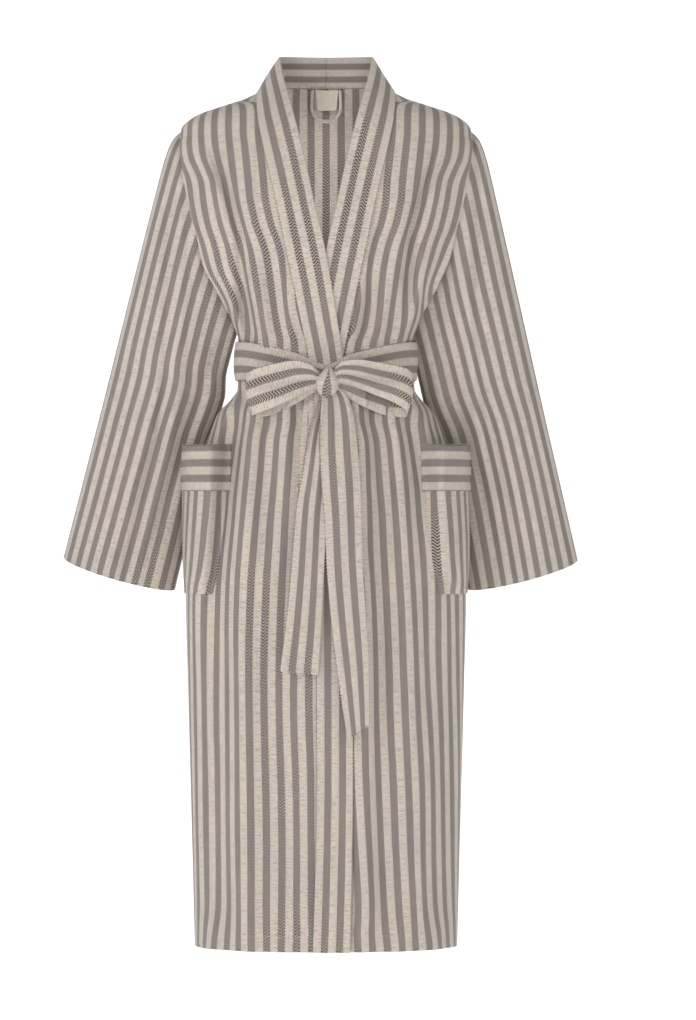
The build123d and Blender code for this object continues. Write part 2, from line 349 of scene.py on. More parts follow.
def gathers(x, z, phase):
    """Upright folds where the belt draws the cloth in; they fan out and fade away from it."""
    size = curve((-120, 0), (-200, 2.4), (-290, 5.8), (-322, 5.6), (-340, 2.4), (-365, 0.8), (-392, 2.8),
                 (-414, 6.6), (-455, 7.0), (-540, 5.4), (-680, 3.6), (-860, 2.4), (HEM, 2.6))(z)
    spread = x * (117 / HALF_WIDTH(z)) ** 0.75
    sway = 0.5 * np.sin(z / 47 + phase)
    wave = np.sin(0.172 * spread + phase + sway) + 0.55 * np.sin(0.098 * spread + 2.3 * phase - 0.6 * sway)
    return size * wave


# ---------------------------------------------------------------- front panels
LAP_DEPTH = 5  # how far the lower wrap front lies behind the upper one at the middle
SEAM = curve((0, 84), (-5, 87), (-12, 90), (-40, 89), (-75, 84), (-148, 67), (-212, 54), (-321, 31),
             (-400, 17), (-430, 15), (-921, 12), (-1200, 19))
FREE_EDGE = curve((43, 60), (0, 52), (-41, 40), (-148, 16.5), (-221, 0), (-311, -15.5), (-375, -25),
                  (-500, -34), (-921, -36), (-1200, -31))
THIRD_STRIPE = {  # how far out the dark stripe whose U is three pitches runs
    -1: curve((-64, 128), (-148, 117), (-228, 97), (-281, 88), (-315, 83), (-350, 78), (-441, 77),
              (-468, 82), (-508, 85), (-601, 93), (-655, 97), (-760, 100), (-1028, 97), (HEM, 97)),
    1: curve((-64, 127), (-148, 117), (-228, 97), (-281, 89), (-315, 84), (-350, 79), (-441, 77),
             (-468, 82), (-508, 86), (-601, 93), (-708, 99), (-815, 103), (-921, 108), (-1028, 112),
             (HEM, 118)),
}
BODICE_CREASE = ((-70, 154), (-135, 131), (-168, 121), (-195, 113), (-281, 108), (-345, 101))
FOLD_STRENGTH = 1.4
FRONT_FOLDS = {  # lines of (height, how far out), width and height of each fold
    -1: (
        (BODICE_CREASE, 7, -7), (tuple((z, x + 15) for z, x in BODICE_CREASE), 9, 5),
        (((-230, 62), (-300, 58), (-350, 52)), 8, -4), (((-90, 120), (-180, 92), (-260, 80)), 12, 3),
        (((-420, 120), (-560, 138), (-760, 150), (HEM, 152)), 20, -5),
        (((-430, 60), (-620, 66), (-860, 62), (HEM, 56)), 17, -4),
        (((-520, 92), (-800, 104), (HEM, 104)), 18, 4),
        (((-640, 36), (-900, 34), (HEM, 30)), 14, 3),
    ),
    1: (
        (BODICE_CREASE, 7, -7), (tuple((z, x + 15) for z, x in BODICE_CREASE), 9, 5),
        (((-225, 58), (-300, 55), (-350, 50)), 9, -4), (((-95, 118), (-180, 94), (-270, 78)), 13, 3),
        (((-415, 112), (-540, 132), (-800, 146), (HEM, 148)), 18, -5),
        (((-425, 66), (-600, 74), (-860, 78), (HEM, 84)), 16, -4),
        (((-520, 100), (-800, 116), (HEM, 120)), 18, 4),
        (((-600, 48), (-900, 54), (HEM, 56)), 13, 4),
    ),
}


def front_surface(x, z, side):
    """Distance of a front panel in front of the side seams, folds included; x counts outwards."""
    edge = 1 - smoothstep(x / HALF_WIDTH(z), 0.90, 1.0)
    folds = gathers(x, z, 0.4 if side < 0 else 2.2)
    for line, width, height in FRONT_FOLDS[side]:
        folds = folds + fold(x, z, line, width, height * FOLD_STRENGTH)
    from_seam = x - SEAM(z)
    lap = (1 - smoothstep(from_seam, 4, 64)) * smoothstep(-z, 60, 150)
    behind = 0 if side < 0 else LAP_DEPTH * lap
    return body_depth(x, z, FRONT_DEPTH) + folds * edge * smoothstep(from_seam, -1, 13) - behind


def front_panel(name, side):
    """One wrap front, from the shoulder to the hem and from the neckband's seam to the side seam."""
    rows = heights(-1.5, HEM)[:, None]
    inner = SEAM(rows) - 6
    x = inner + (HALF_WIDTH(rows) - inner) * edge_spacing(100)[None, :]
    z = np.broadcast_to(rows, x.shape)
    grid = np.stack([side * x, -front_surface(x, z, side), z], -1)
    run = row_lengths(grid)
    u = np.empty_like(run)
    stripe = THIRD_STRIPE[side](rows[:, 0])
    for i, reference in enumerate(stripe):
        there = np.interp(reference, x[i], run[i]) + max(0.0, reference - x[i, -1])
        u[i] = 3 * PITCH + run[i] - there
    uv = np.stack([u, upward(x, z, FRONT_DEPTH)], -1)
    return mesh_piece(name, grid, uv, striped, FRONT)


right_front = front_panel("front_right", -1)
left_front = front_panel("front_left", 1)


# ---------------------------------------------------------------- back panel
BACK_FOLDS = (
    (((-90, -118), (-200, -84), (-330, -62)), 16, 4), (((-100, 124), (-210, 88), (-330, 60)), 15, 4),
    (((-120, -60), (-220, -38), (-330, -26)), 14, -3), (((-150, 40), (-240, 28), (-330, 18)), 13, -3),
    (((-420, -96), (-640, -112), (HEM, -118)), 20, 5), (((-420, 84), (-660, 98), (HEM, 104)), 20, 5),
    (((-430, -34), (-700, -44), (HEM, -50)), 18, -5), (((-440, 24), (-720, 36), (HEM, 34)), 18, -5),
    (((-560, -4), (-820, -8), (HEM, -6)), 16, 5),
)


def back_surface(x, z):
    """Distance of the back behind the side seams, folds included."""
    edge = 1 - smoothstep(np.abs(x) / HALF_WIDTH(z), 0.90, 1.0)
    folds = gathers(x, z, 3.7)
    for line, width, height in BACK_FOLDS:
        folds = folds + fold(x, z, line, width, height * FOLD_STRENGTH)
    return body_depth(x, z, BACK_DEPTH) + folds * edge


def back_panel():
    """The whole back, its stripes straight down from the neck."""
    rows = heights(NAPE, HEM)[:, None]
    share = np.sin(np.linspace(-math.pi / 2, math.pi / 2, 181))[None, :]
    x = HALF_WIDTH(rows) * share
    z = np.broadcast_to(rows, x.shape)
    grid = np.stack([x, back_surface(x, z), z], -1)
    run = row_lengths(grid)
    middle = np.array([np.interp(-1.0, x[i], run[i]) for i in range(len(x))])
    uv = np.stack([run - middle[:, None], upward(x, z, BACK_DEPTH)], -1)
    return mesh_piece("back", grid, uv, striped, -FRONT)


back = back_panel()


# ---------------------------------------------------------------- neckband
def band_rungs():
    """Pairs of points across the band, seam first, from the middle of the back down to the hem."""
    rungs = [((0, 59, NAPE), (0, 52, 47.5)), ((30, 56, NAPE), (24, 49.5, 47.5)),
             ((60, 44, 4), (45, 37, 46.5)), ((81, 20, 2), (58, 13, 44)), ((87, -3, -2), (60, -10, 40)),
             ((91, -31, -14), (57.5, -26, 22)),
             ((90, -60, -40), (51, -48, -5)), ((84, -77, -75), (41, -71, -42))]
    for z in (-120, -170, -220, -270, -320, -352, -384, -420, -480, -560, -680, -800, -921, -1040, HEM):
        rise = 10 * smoothstep(z, -420, -320)
        pair = []
        for x, level in ((float(SEAM(z)), z), (float(FREE_EDGE(z + rise)), z + float(rise))):
            y = -float(body_depth(abs(x), level, FRONT_DEPTH))
            pair.append((x, y, level))
        rungs.append(tuple(pair))
    return np.array([first + second for first, second in rungs], float)


def neckband(name, side):
    """Half of the folded neckband, from the middle of the back down to the hem."""
    rungs = path(band_rungs(), 420)
    seam, edge = rungs[:, :3], rungs[:, 3:]
    along = np.concatenate([[0], np.cumsum(np.linalg.norm(np.diff(seam + edge, axis=0), axis=1))]) / 2
    across = edge - seam
    width = np.linalg.norm(across, axis=1)[:, None]
    across = across / width
    forward = np.gradient(seam + edge, axis=0)
    normal = np.cross(forward, across)
    normal /= np.linalg.norm(normal, axis=1)[:, None]
    # outside is away from the neck at the back, and forward once the band has come round to the front
    away = np.sign((normal * seam * [1, 1, 0]).sum(axis=1))
    outside = normal * np.where(along < 105, away, -np.sign(normal[:, 1]))[:, None]
    behind = np.zeros_like(along) if side < 0 else LAP_DEPTH * smoothstep(along, 160, 260)
    # the loop of cloth seen end on: out along the face, round the fold and back along the lining
    face = [(share, 1.9 + 0.9 * math.sin(math.pi * share)) for share in np.linspace(0, 0.965, 22)]
    nose = [(0.965 + 0.035 * math.sin(a), 1.9 * math.cos(a)) for a in np.linspace(0.3, math.pi - 0.3, 6)]
    lining = [(share, -1.9) for share in np.linspace(0.965, 0.02, 14)]
    loop = [(0.0, -0.6)] + face + nose + lining
    ripple = 0.7 * np.sin(along / 31 + side) + 0.5 * np.sin(along / 13.7 + 2 * side)
    ripple = ripple * smoothstep(along, 0, 60)
    columns = []
    for share, out in loop:
        lift = out + 1.2 + ripple * math.sin(math.pi * min(share, 1.0)) ** 2
        columns.append(seam + across * width * share + outside * np.asarray(lift)[:, None])
    grid = np.stack(columns, 1)
    grid[:, :, 1] += behind[:, None]
    grid[:, :, 0] *= side
    u = [FIRST_STRIPE + BAND_WIDTH * share for share, _ in loop]
    uv = np.stack([np.broadcast_to(u, grid.shape[:2]), np.broadcast_to(along[:, None], grid.shape[:2])], -1)
    centre = grid.mean(axis=1)

    def outward(points):
        nearest = np.argmin(((points[:, None] - centre[None, ::6]) ** 2).sum(axis=2), axis=1)
        return points - centre[::6][nearest]

    return mesh_piece(name, grid, uv, striped, outward, thick=0.8)


right_band = neckband("neckband_cloth_right", -1)
left_band = neckband("neckband_cloth_left", 1)


# ---------------------------------------------------------------- sleeves
SHOULDER_TIP = np.array([199.0, -62.0])
TILT = {-1: 14.6, 1: 13.1}  # degrees from upright
SLEEVE_LENGTH = 621
SLEEVE_OVERLAP = 5  # the sleeve starts this far inside the body's edge
SLEEVE_AXIS_TOP = np.array([124.3, -41.8])
SLEEVE_DEPTH = curve((0, 47), (150, 49), (300, 47), (420, 45), (640, 45))
SLEEVE_BACKSET = curve((0, 0), (150, 6), (300, 24), (420, 40), (640, 44))
OUTER_EDGE = curve((20, 52), (30, 61), (37, 67), (45, 71), (60, 74), (90, 75.5), (300, 75), (640, 74))
INNER_EDGE = {
    -1: curve((240, 78), (325, 76), (363, 82), (430, 76), (500, 77), (560, 80), (640, 82)),
    1: curve((240, 84), (325, 80), (363, 80), (430, 71), (500, 73), (560, 76), (640, 80)),
}
SLEEVE_FOLDS = (  # (along, across) lines, width and height; across counts outwards from the middle
    (((40, 69), (93, 63), (190, 36), (300, 12), (450, -8), (640, -14)), 8, -5.5),
    (((40, 52), (93, 46), (190, 20), (300, -6), (450, -26), (640, -34)), 10, 3.5),
    (((262, -64), (380, -48), (500, -42), (640, -36)), 9, -4),
    (((330, 40), (480, 47), (640, 54)), 12, -2.5),
    (((60, 30), (120, 44), (170, 62)), 7, -3.5),
    (((8, 60), (50, 56), (100, 38)), 6, 5.5),
    (((8, 72), (60, 66), (120, 46)), 5, -4.5),
    (((250, 20), (400, 4), (560, 14)), 11, 3.5),
)


def sleeve_frame(side):
    """The sleeve's upper middle point and its directions down and across, in the x-z plane."""
    turn = math.radians(TILT[-1] - TILT[side])
    start = SLEEVE_AXIS_TOP - SHOULDER_TIP
    cos, sin = math.cos(turn), math.sin(turn)
    top = SHOULDER_TIP + np.array([start[0] * cos + start[1] * sin, start[1] * cos - start[0] * sin])
    tilt = math.radians(TILT[side])
    return top, np.array([math.sin(tilt), -math.cos(tilt)]), np.array([math.cos(tilt), math.sin(tilt)])


def sleeve(name, side):
    """A sleeve as one tube of cloth whose upper end follows the armhole's seam."""
    top, down, out = sleeve_frame(side)
    level = np.linspace(-56, ARMHOLE_BOTTOM, 80)
    seam = np.stack([HALF_WIDTH(level), level], 1) - top
    seam_across, seam_along = seam @ out, seam @ down
    angle = np.linspace(-math.pi, math.pi, 241)
    lean = np.cos(angle)
    probe = np.linspace(seam_along.min(), seam_along.max(), 300)[:, None]
    high, low = OUTER_EDGE(probe), INNER_EDGE[side](probe)
    miss = (high - low) / 2 + (high + low) / 2 * lean - np.interp(probe, seam_along, seam_across)
    start = np.array([np.interp(0, miss[:, i], probe[:, 0]) for i in range(len(angle))])
    seam_z = np.interp(start, seam_along, level)
    start = start - SLEEVE_OVERLAP
    end = SLEEVE_LENGTH + 9 * np.sin(np.abs(angle)) + 4 * (1 - lean) / 2
    step = np.linspace(0, 1, 190)[:, None]
    along = start + (end - start) * step
    run = along - start
    high, low = OUTER_EDGE(along), INNER_EDGE[side](along)
    across = (high - low) / 2 + (high + low) / 2 * lean
    round_ = np.sign(np.sin(angle)) * np.abs(np.sin(angle)) ** 0.86
    ease = smoothstep(run, 0, 26 + 44 * smoothstep(-seam_z, 150, 300))
    tuck = 0.6 + 11 * smoothstep(-seam_z, 180, 270)
    mouth = -np.sign(round_) * np.maximum(armhole_depth(seam_z) - tuck, 0) * np.abs(round_) ** 0.15
    y = SLEEVE_BACKSET(along) - SLEEVE_DEPTH(along) * round_
    y = mouth * (1 - ease) + y * ease
    folds = np.zeros_like(y)
    for line, width, height in SLEEVE_FOLDS:
        shifted = [(a, w if side < 0 else w * 0.9 + 3) for a, w in line]
        folds += fold(across, along, shifted, width, 1.35 * height, ends=50)
        folds += fold(-across, along, shifted, width * 1.2, height, ends=50) * (round_ < 0)
    folds = np.where(round_ < 0, folds * 0.6, folds)
    ripple = 1.1 * np.sin(along / 38 + 5 * lean) * np.sin(angle * 3 + along / 90)
    y -= (folds + ripple) * round_ * ease
    swing = 2.4 * np.sin(along / 74 + side) * ease * np.sin(angle) ** 2
    x = top[0] + down[0] * along + out[0] * (across + swing)
    z = top[1] + down[1] * along + out[1] * (across + swing)
    grid = np.stack([side * x, y, z], -1)
    row = np.concatenate([[0], np.cumsum(np.linalg.norm(np.diff(grid[130], axis=0), axis=1))])
    front = angle > 0
    reference = np.interp(-4.0, -across[130][front], row[front])
    u = np.broadcast_to(row - reference, y.shape)
    uv = np.stack([u, -along], -1)
    middle = grid.mean(axis=1)

    def outward(points):
        return points - np.array([side * np.interp(-points[:, 2], -middle[:, 2], np.abs(middle[:, 0])),
                                  np.interp(-points[:, 2], -middle[:, 2], middle[:, 1]),
                                  points[:, 2]]).T

    return mesh_piece(name, grid, uv, striped, outward, closed=True)


right_sleeve = sleeve("sleeve_cloth_right", -1)
left_sleeve = sleeve("sleeve_cloth_left", 1)


# ---------------------------------------------------------------- belt
def ribbon(name, rungs, count, across, outward, crown, creases, thick):
    """A strip of cloth through pairs of edge points, with UVs that keep its stripes along it."""
    line = path(np.array([first + second for first, second in rungs], float), count)
    first, second = line[:, None, :3], line[:, None, 3:]
    share = np.linspace(0, 1, across)[None, :, None]
    grid = first + (second - first) * share
    along = np.concatenate([[0], np.cumsum(np.linalg.norm(np.diff(grid.mean(axis=1), axis=0), axis=1))])
    sideways = np.gradient(grid, axis=1)
    forward = np.gradient(grid, axis=0)
    normal = np.cross(forward, sideways)
    normal /= np.linalg.norm(normal, axis=2)[:, :, None] + 1e-9
    facing = outward(grid.reshape(-1, 3)).reshape(grid.shape)
    normal *= np.where((normal * facing).sum(axis=2) < 0, -1.0, 1.0)[:, :, None]
    flat = share[:, :, 0]
    lift = crown * np.sin(math.pi * flat) * np.ones((count, 1))
    for start, end, height, waves, phase in creases:
        rise = smoothstep(along, start, start + (end - start) * 0.3)
        fade = rise * (1 - smoothstep(along, end * 0.55, end))
        wave = np.sin(2 * math.pi * waves * flat + phase + along[:, None] / 45)
        lift = lift + height * fade[:, None] * wave
    grid = grid + normal * lift[:, :, None]
    u = np.broadcast_to(FIRST_STRIPE + BAND_WIDTH * flat, lift.shape)
    uv = np.stack([u, np.broadcast_to(along[:, None], lift.shape)], -1)
    return mesh_piece(name, grid, uv, striped, outward, thick=thick)


BELT_TOP = curve((0, -371), (15, -365), (30, -357), (57, -349), (83, -343), (112, -338), (130, -337))
BELT_BOTTOM = curve((0, -401), (15, -402), (30, -404), (57, -400), (83, -394), (112, -389), (130, -389))


def belt_ring():
    """The belt round the waist, level at the back and dipping to the knot at the front."""
    angle = np.linspace(0, 2 * math.pi, 321)
    rungs = []
    for a in angle:
        x = 121.5 * math.sin(a)
        front = math.cos(a) > 0
        depth = (90.5 if front else 91.5) * abs(math.cos(a)) ** 0.85
        top = float(BELT_TOP(abs(x))) if front else -337 + 1.2 * math.sin(5 * a)
        bottom = float(BELT_BOTTOM(abs(x))) if front else -389 + 1.0 * math.sin(4 * a + 1)
        y = -depth if front else depth
        rungs.append(((x * 0.992, y * 0.985, top), (x * 0.992, y * 0.985, bottom)))
    line = np.array([first + second for first, second in rungs])
    first, second = line[:, None, :3], line[:, None, 3:]
    share = np.linspace(0, 1, 25)[None, :, None]
    grid = first + (second - first) * share
    flat = share[:, :, 0]
    turn = angle[:, None]
    near = np.exp(-(((turn - math.pi) / math.pi) ** 2 - 1) ** 2 * 14)
    lift = 2.2 * np.sin(math.pi * flat) ** 0.5 + 0.7 * np.sin(13 * turn + 4 * flat) * np.sin(math.pi * flat)
    lift = lift + 1.5 * near * np.sin(2 * math.pi * 2.0 * flat + 0.6)
    out = grid * [1, 1, 0]
    out = out / (np.linalg.norm(out, axis=2)[:, :, None] + 1e-9)
    grid = grid + out * lift[:, :, None]
    along = np.concatenate([[0], np.cumsum(np.linalg.norm(np.diff(grid[:, 12], axis=0), axis=1))])
    uv = np.stack([np.broadcast_to(FIRST_STRIPE + BAND_WIDTH * flat, lift.shape),
                   np.broadcast_to(along[:, None], lift.shape)], -1)
    return mesh_piece("belt_round_waist", grid, uv, striped, from_axis, thick=1.6)


belt = belt_ring()

BOW_RIGHT = (
    ((-9, -104, -379), (-8, -104, -399)), ((-21, -109, -369.5), (-20, -107, -404)),
    ((-39, -110, -365), (-37, -108, -412)), ((-65, -106, -368.5), (-65, -104, -425)),
    ((-88, -98, -374), (-84, -97, -432)), ((-101, -91, -379), (-94, -91, -436)),
    ((-105, -85.5, -381), (-97, -85.5, -437)), ((-101, -80.5, -379), (-92, -80.5, -438)),
    ((-85, -84, -374), (-80, -84, -438)), ((-60, -90, -369), (-58, -90, -431)),
    ((-35, -96, -369), (-35, -95, -419)), ((-12, -99, -379), (-12, -99, -404)),
)
BOW_LEFT = (
    ((13, -104, -373), (10, -104, -394)), ((22, -109, -366), (22, -108, -394)),
    ((40, -111, -363.5), (42, -108, -401)), ((64, -107, -366.5), (67, -104, -411)),
    ((92, -98, -371), (92, -97, -421)), ((109, -91, -376), (105, -90, -430)),
    ((114, -85.5, -381), (108, -85, -434)), ((110, -80.5, -380), (106, -80.5, -439)),
    ((90, -84, -375), (86, -83, -438)), ((62, -90, -371), (60, -90, -430)),
    ((36, -96, -370), (36, -95, -418)), ((14, -99, -378), (14, -99, -404)),
)


BOW_LINE = 97.0  # how far out, and how far forward at the knot, the line inside a bow's loop is


def from_bow(side):
    """Directions out of a bow's loop, from a line inside it that ends short of its tip."""

    def outward(points):
        reach = np.abs(points[:, 0])
        x = np.where(reach > BOW_LINE, side * BOW_LINE, points[:, 0])
        return points - np.stack([x, -BOW_LINE + 0.10 * reach, points[:, 2]], 1)

    return outward


BOW_CREASES = ((0, 110, 3.0, 1.5, 0.4), (0, 80, 2.0, 2.6, 1.2), (20, 150, 1.2, 1.0, 2.0))
BOW_THICK = 1.4
bow_right = ribbon("bow_right_cloth", BOW_RIGHT, 150, 33, from_bow(-1), 3.2, BOW_CREASES, BOW_THICK)
bow_left = ribbon("bow_left_cloth", BOW_LEFT, 150, 33, from_bow(1), 3.4, BOW_CREASES, BOW_THICK)


def tail_rungs(outline, over):
    """Edge points of a belt tail, hung a little in front of the skirt at each height.

    Each entry of the outline is a height, the x of the two edges and how much higher the second is.
    """
    rungs = []
    for level, first, second, slant in outline:
        pair = []
        under = np.abs(np.linspace(first - 6, second + 6, 25))
        skirt = max(float(front_surface(under, level, side).max()) for side in (-1, 1))
        for x, z in ((first, level), (second, level + slant)):
            off = float(curve((-900, 6.0), (-650, 6.0), (-520, 6.5), (-430, 7.0))(z)) + over
            pair.append((x, -max(skirt + off, 96.0 + over if z > -430 else 0), z))
        rungs.append(tuple(pair))
    return rungs


TAIL_RIGHT = ((-406, -9, 8, 0), (-424, -12, 8, 0), (-452, -20, 6, 0), (-506, -29, 4, 0), (-560, -38.5, 1, 0),
              (-640, -45, -2, -1), (-710, -52, -5, -3), (-772, -60, -9.5, -5))
TAIL_LEFT = ((-402, -3, 20, 0), (-414, -5, 30, 0), (-440, -7, 38, 0), (-480, -7.5, 42, 1),
             (-520, -6, 45, 2), (-570, -2, 47, 3), (-632, 1, 48.5, 5), (-705, 7, 53, 8), (-785, 17, 57, 14),
             (-861, 28, 57.5, 19))
TAIL_CREASES = ((-60, 380, 1.9, 1.3, 0.6), (-60, 230, 1.3, 2.2, 2.0), (-60, 120, 1.0, 3.4, 0.4))
TAIL_THICK = 1.5
TAIL_CROWN = 0.8
TAIL_OVER = 3.5  # how far the left tail lies over the right one


def forward(points):
    return np.broadcast_to(FRONT, points.shape)


tail_right = ribbon("tail_right_cloth", tail_rungs(TAIL_RIGHT, 0.0), 180, 33, forward, TAIL_CROWN,
                    TAIL_CREASES, TAIL_THICK)
tail_left = ribbon("tail_left_cloth", tail_rungs(TAIL_LEFT, TAIL_OVER), 200, 33, forward, TAIL_CROWN,
                   TAIL_CREASES, TAIL_THICK)


def knot():
    """The belt's last turn, wrapped over the crossing: a drop shape with a dark stripe down its middle."""
    half = curve((-375, 1.5), (-379, 6), (-385, 10.5), (-391, 13.8), (-397, 15.2), (-403, 14.2),
                 (-408, 11.5), (-413, 6.5), (-415, 1))
    middle = curve((-375, 4), (-390, 2.5), (-400, 2), (-415, 1))
    deep = curve((-375, 1.5), (-380, 7), (-388, 11.5), (-397, 13), (-405, 12), (-411, 7.5), (-415, 1))
    angle = np.linspace(-math.pi, math.pi, 65)[None, :]
    z = np.linspace(-375, -415, 44)[:, None]
    x = middle(z) + half(z) * np.sin(angle)
    y = -105 - deep(z) * np.cos(angle)
    across = np.sin(angle)
    hollow = smoothstep(-z, 386, 410) * np.exp(-((across * half(z) + 1) / 3.2) ** 2) * (np.cos(angle) > 0)
    y = y + 2.6 * hollow + 0.5 * np.sin(3.2 * angle + z / 5)
    grid = np.stack([x, y, np.broadcast_to(z, x.shape) + 1.5 * np.abs(across)], -1)
    wedge = np.interp(-z, [374, 379, 400, 415], [0.0, 0.2, 5.5, 6.5])
    dark = 1 - smoothstep(np.abs(across * half(z) - 0.6), wedge * 0.75, wedge * 1.25 + 0.6)
    dark = np.where(np.cos(angle) > 0, dark, 0.0)
    uv = np.stack([PITCH / 2 * (1 - dark) + 0.8 * half(z) * across * dark, np.broadcast_to(-z, x.shape)], -1)
    return mesh_piece("belt_knot_cloth", grid, uv, striped, lambda p: p - np.array([2, -105, -396]), thick=0,
                      closed=True)


tied_knot = knot()


# ---------------------------------------------------------------- pockets
POCKET_INNER = curve((-473, 130), (-536, 131.5), (-600, 137), (-640, 143), (-672, 150))
POCKET_OUTER = curve((-473, 190.5), (-536, 192), (-600, 192), (-672, 189.5))
POCKET_DEPTH = curve((-473, 118), (-536, 124), (-620, 120), (-672, 117.5))


def pocket_point(x, z, side, proud):
    """Distance in front of the side seams of the pocket's cloth: sewn down inside, gaping outside."""
    share = np.clip(x / POCKET_OUTER(z), 0, 1)
    bag = POCKET_DEPTH(z) * np.clip(1 - share**4.5, 0, 1) ** 0.62
    skirt = front_surface(np.minimum(x, HALF_WIDTH(z)), z, side)
    seam = POCKET_INNER(z)
    loose = smoothstep(x, seam, seam + 26) * smoothstep(z, -676, -648)
    return np.maximum(skirt + 1.6, skirt + 1.6 + (bag - skirt - 1.6) * loose) + proud


def pocket_piece(name, side, top, bottom, proud, widen, cuff):
    """A pocket or its cuff: the front, then the side that turns back to the side seam."""
    rows = np.linspace(top, bottom, 34 if cuff else 110)[:, None]
    turn = np.linspace(0, 1, 60)[None, :]
    inner, outer = POCKET_INNER(rows) - widen, POCKET_OUTER(rows) + proud
    outer = outer + (HALF_WIDTH(rows) + 2 - outer) * smoothstep(-rows, 640, 676)
    x = inner + (outer - inner) * np.sin(turn * math.pi / 2)
    sag = 3.0 * np.sin(math.pi * turn) * smoothstep(rows, bottom, top) if cuff else 0
    z = rows - sag + 0 * x
    y = pocket_point(x, z, side, proud)
    back = np.linspace(0.15, 1, 10)[None, :]
    return_x = outer + (HALF_WIDTH(rows) + 1.5 - outer) * back
    return_y = y[:, -1:] * (1 - back) + 1.0 * back
    grid_x, grid_y = np.hstack([x, return_x]), np.hstack([y, return_y])
    grid_z = np.hstack([z, np.broadcast_to(rows, return_x.shape)])
    flutter = 0.8 * np.sin(grid_x / 11 + rows / 60) * smoothstep(-rows, 540, 600)
    grid = np.stack([side * grid_x, -grid_y - flutter, grid_z], -1)
    run = row_lengths(grid)
    if cuff:
        uv = np.stack([top - grid_z - 5.0, run], -1)
    else:
        lean = 9.0 * smoothstep(-rows, 500, 670)
        uv = np.stack([9.0 + 0.82 * run + lean, grid_z], -1)
    return mesh_piece(name, grid, uv, striped, from_axis, thick=2.6 if cuff else CLOTH)


pockets = {}
for word, side in (("right", -1), ("left", 1)):
    pockets[word] = pocket_piece("pocket_cloth_" + word, side, -520, -672, 0.0, 0, False)
    pockets["cuff_" + word] = pocket_piece("pocket_cuff_cloth_" + word, side, -473, -536, 1.8, 4, True)


# ---------------------------------------------------------------- loop, label, carriers
def loop_of_piping():
    """The hanging loop: a round piping that leaves the nape seam, hangs in a U and goes back into it."""
    route = ((-18.6, 3), (-19.5, -13), (-19, -28), (-7.9, -39),
             (7.9, -39), (19, -28), (19.5, -13), (18.6, 3))
    data = bpy.data.curves.new("hanging_loop", "CURVE")
    data.dimensions = "3D"
    spline = data.splines.new("NURBS")
    spline.points.add(len(route) - 1)
    for point, (x, z) in zip(spline.points, route):
        point.co = (x * MM, 49 * MM, z * MM, 1)
    spline.order_u = 3
    spline.use_endpoint_u = True
    data.bevel_depth = 2.4 * MM
    data.bevel_resolution = 5
    data.resolution_u = 16
    data.use_fill_caps = True
    data.materials.append(piping)
    piece = bpy.data.objects.new("hanging_loop", data)
    bpy.context.scene.collection.objects.link(piece)
    return piece


loop = loop_of_piping()


def neck_label():
    """The blank label behind the hanging loop, a little narrower at its lower edge."""
    rows = np.linspace(3.5, -24.0, 24)[:, None]
    turn = np.linspace(-1, 1, 26)[None, :]
    half = np.interp(-rows, [-3.5, 24], [15.5, 12.5])
    x = 1 + half * turn
    y = 52.6 - 0.7 * np.sin((3.5 - rows) / 27.5 * math.pi) - 0.5 * turn**2
    grid = np.stack([x, np.broadcast_to(y, x.shape), rows + 0 * x], -1)
    uv = np.stack([x + 40, rows + 0 * x], -1)
    return mesh_piece("blank_neck_label", grid, uv, label_cloth, FRONT, thick=0.6)


label = neck_label()


def tube(name, line, radius, material, sides=10):
    """A round tube along a line of points, its radius a number or one for each point."""
    line = np.array(line, float)
    forward = np.gradient(line, axis=0)
    forward /= np.linalg.norm(forward, axis=1)[:, None]
    side = np.cross(forward, np.array([0.31, 0.87, 0.38]))
    side /= np.linalg.norm(side, axis=1)[:, None]
    up = np.cross(forward, side)
    turn = np.linspace(0, 2 * math.pi, sides + 1)
    size = np.broadcast_to(radius, len(line))[:, None, None]
    ring = side[:, None] * np.cos(turn)[None, :, None] + up[:, None] * np.sin(turn)[None, :, None]
    grid = line[:, None] + ring * size
    along = np.concatenate([[0], np.cumsum(np.linalg.norm(np.diff(line, axis=0), axis=1))])
    uv = np.stack([np.broadcast_to(turn * float(np.mean(radius)), grid.shape[:2]),
                   np.broadcast_to(along[:, None], grid.shape[:2])], -1)

    def outward(points):
        nearest = np.argmin(((points[:, None] - line[None]) ** 2).sum(axis=2), axis=1)
        return points - line[nearest]

    return mesh_piece(name, grid, uv, material, outward, thick=0, closed=True)


def carrier(name, side):
    """A chain of thread at the side seam that holds the belt up."""
    spine = path([(112.5, 28, -331), (116.5, 28, -335), (119.6, 28, -341), (120.6, 28, -363),
                  (119.6, 28, -385), (116.5, 28, -391), (112.5, 28, -397)], 130)
    spine[:, 0] *= side
    run = np.arange(len(spine)) / len(spine)
    radius = 0.85 + 0.3 * np.abs(np.sin(run * math.pi * 20))
    return tube(name, spine, radius, thread)


carriers = {"right": carrier("belt_carrier_right", -1), "left": carrier("belt_carrier_left", 1)}


# ---------------------------------------------------------------- stitches
STITCH = 3.0  # length of one stitch
STITCH_STEP = 4.4  # from one to the next
STITCH_RADIUS = 0.42
HEM_DEPTH = 20  # height of the row of stitches over the hem's edge


